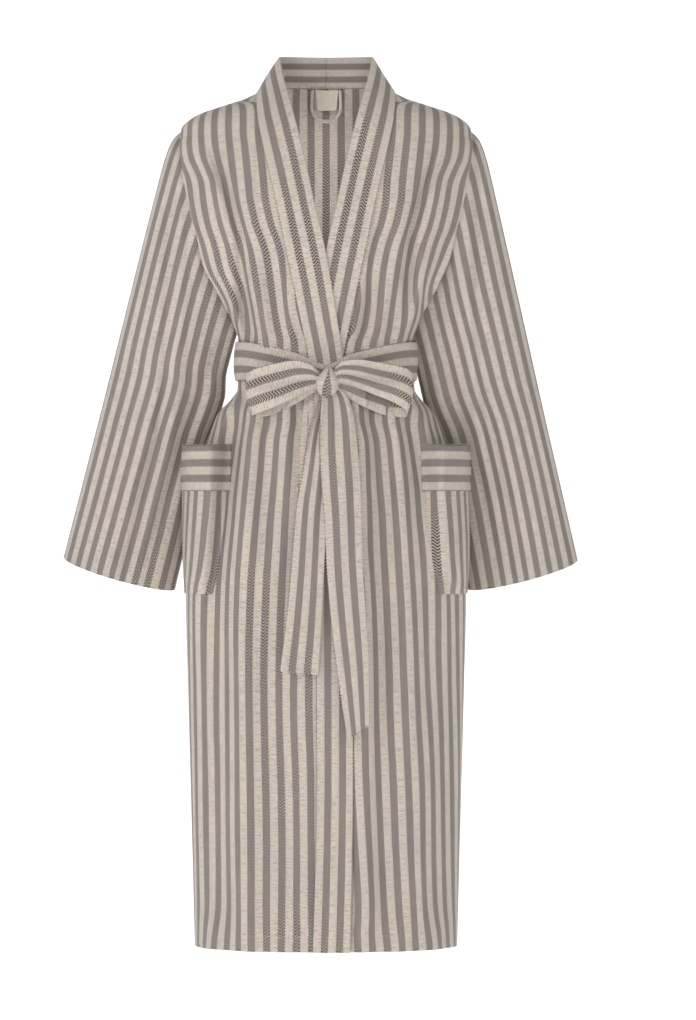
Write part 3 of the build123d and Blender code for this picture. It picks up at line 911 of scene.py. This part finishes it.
def stitches(name, line, outward):
    """A row of short stitches lying on the cloth along a line of points."""
    line = np.array(line, float)
    outward = np.broadcast_to(np.array(outward, float), line.shape)
    run = np.concatenate([[0], np.cumsum(np.linalg.norm(np.diff(line, axis=0), axis=1))])
    centres = np.arange(STITCH_STEP, run[-1] - STITCH, STITCH_STEP)
    ring = np.array([(-1, 0), (-0.5, 0.8), (0.5, 0.8), (1, 0), (0.5, -0.8), (-0.5, -0.8)])
    points, faces = [], []
    for centre in centres:
        ends = [np.array([np.interp(centre + d, run, line[:, k]) for k in range(3)])
                for d in (-STITCH / 2, -STITCH / 3, STITCH / 3, STITCH / 2)]
        out = np.array([np.interp(centre, run, outward[:, k]) for k in range(3)])
        out /= np.linalg.norm(out)
        ahead = ends[-1] - ends[0]
        side = np.cross(ahead, out)
        side /= np.linalg.norm(side)
        first = len(points)
        for end, size in zip(ends, (0.35, 1.0, 1.0, 0.35)):
            for a, b in ring * STITCH_RADIUS * size:
                points.append(end + side * a + out * (b + 0.15))
        for k in range(3):
            for j in range(6):
                a, b = first + 6 * k + j, first + 6 * k + (j + 1) % 6
                faces.append((a, b, b + 6, a + 6))
        faces.append(tuple(range(first, first + 6)))
        faces.append(tuple(range(first + 23, first + 17, -1)))
    mesh = bpy.data.meshes.new(name)
    mesh.from_pydata((np.array(points) * MM).tolist(), [], faces)
    mesh.materials.append(thread)
    mesh.update()
    piece = bpy.data.objects.new(name, mesh)
    bpy.context.scene.collection.objects.link(piece)
    return piece


def row_of_stitches(x, z, surface):
    """Points just off a cloth's outer surface, at picked x and z."""
    y = np.array([float(surface(abs(a), b)) for a, b in zip(x, z)])
    return np.stack([x, -y, z], 1)


def hem_stitches(name, side):
    """The row of stitches that holds up the hem of one front."""
    x = np.linspace(22, 168, 90)
    z = np.full_like(x, HEM + HEM_DEPTH)
    line = row_of_stitches(x, z, lambda a, b: front_surface(a, b, side) + 0.3)
    line[:, 0] *= side
    return stitches(name, line, FRONT)


hem_stitches_right = hem_stitches("hem_stitches_right", -1)
hem_stitches_left = hem_stitches("hem_stitches_left", 1)


# ---------------------------------------------------------------- what each piece is to the frame
def place(piece, body, *nodes, other=None, start=None, end=None):
    """Let a piece ride one body, or, when another body is given, apply its transform to its mesh and leave
    it unparented; hide the frame's nodes it stands for.
    """
    if other:
        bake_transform(piece)
    else:
        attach(piece, body)
    if nodes:
        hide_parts(*nodes)


WRAP = {"other": "wrap_flap", "start": (-0.1, -0.1, -0.87), "end": (-0.1, -0.1, -1.06)}
place(right_front, "robe", "front_panel_right", "wrap_flap_panel", **WRAP)
place(right_band, "robe", "neckband_right", "wrap_flap_band", **WRAP)
place(left_front, "robe", "front_panel_left")
place(left_band, "robe", "neckband_left", "neckband_back")
place(back, "robe", "back_panel")
for piece, word, side in ((right_sleeve, "right", -1), (left_sleeve, "left", 1)):
    place(piece, "robe", "sleeve_" + word, other="sleeve_" + word,
          start=(side * 0.160, 0, -0.200), end=(side * 0.246, 0, -0.223))
    place(pockets[word], "robe", "pocket_" + word)
    place(pockets["cuff_" + word], "robe", "pocket_cuff_" + word)
    place(carriers[word], "robe", "belt_loop_" + word)
place(belt, "robe", "belt_waist")
place(tied_knot, "robe", "belt_knot")
place(bow_right, "bow_right", "belt_bow_right")
place(bow_left, "bow_left", "belt_bow_left")
for piece, word in ((tail_right, "right"), (tail_left, "left")):
    place(piece, "robe", "belt_tail_" + word, other="tail_" + word,
          start=(0, -0.1, -0.414), end=(0, -0.1, -0.455))
place(hem_stitches_right, "robe", **WRAP)
place(hem_stitches_left, "robe")
place(loop, "hanger_loop", "hanger_loop")
place(label, "robe", "neck_label", other="neck_label",
      start=(0, 0.053, 0.0), end=(0, 0.053, -0.007))


# ---------------------------------------------------------------- floor, light and camera
FLOOR_REACH = 60.0
FLOOR_LEVEL = -1.32


def backdrop():
    """A plain pale floor, curving up into a wall far behind."""
    sweep = [(-FLOOR_REACH, FLOOR_LEVEL), (6.0, FLOOR_LEVEL), (8.0, -1.2), (9.4, -0.4), (10.0, 1.0),
             (10.0, 7.0)]
    fine = path([(y / MM, z / MM) for y, z in sweep], 300)
    x = np.array([-FLOOR_REACH, FLOOR_REACH])[None, :] / MM
    grid = np.stack([x + 0 * fine[:, :1], fine[:, :1] + 0 * x, fine[:, 1:] + 0 * x], -1)
    paper = Nodes("pale_floor")
    paper.shader.inputs["Base Color"].default_value = (0.93, 0.93, 0.93, 1)
    paper.shader.inputs["Roughness"].default_value = 0.9
    paper.shader.inputs["Emission Color"].default_value = (1, 1, 1, 1)
    paper.shader.inputs["Emission Strength"].default_value = 0.62
    piece = mesh_piece("floor", grid, grid[:, :, :2] * 0.01, paper.material, np.array([0, 0, 1.0]), thick=0)


def area_light(name, position, target, size, power):
    """A round soft light that does not show in the picture itself."""
    data = bpy.data.lights.new(name, "AREA")
    data.shape = "DISK"
    data.size = size
    data.energy = power
    lamp = bpy.data.objects.new(name, data)
    lamp.location = position
    toward = [t - p for t, p in zip(target, position)]
    lamp.rotation_euler = Vector(toward).to_track_quat("-Z", "Y").to_euler()
    lamp.visible_camera = False
    bpy.context.scene.collection.objects.link(lamp)


backdrop()
world = bpy.data.worlds.new("studio")
world.use_nodes = True
sky = world.node_tree.nodes["Background"]
sky.inputs["Color"].default_value = (1, 1, 1, 1)
sky.inputs["Strength"].default_value = 0.42
bpy.context.scene.world = world
area_light("key", (0.5, -5.4, -0.2), (0, 0, -0.6), 1.2, 54)
area_light("side", (-2.6, -3.2, 1.7), (0, 0, -0.5), 0.9, 50)
area_light("neck", (0, -0.03, -0.13), (0, 0.1, -0.17), 0.12, 0.15)

camera_data = bpy.data.cameras.new("camera")
camera_data.lens = 158.8
camera_data.clip_end = 60
camera = bpy.data.objects.new("camera", camera_data)
camera.location = (0.0293, -6, -0.561)
camera.rotation_euler = (math.pi / 2, 0, 0)
bpy.context.scene.collection.objects.link(camera)
bpy.context.scene.camera = camera
bpy.context.scene.view_settings.view_transform = "Standard"
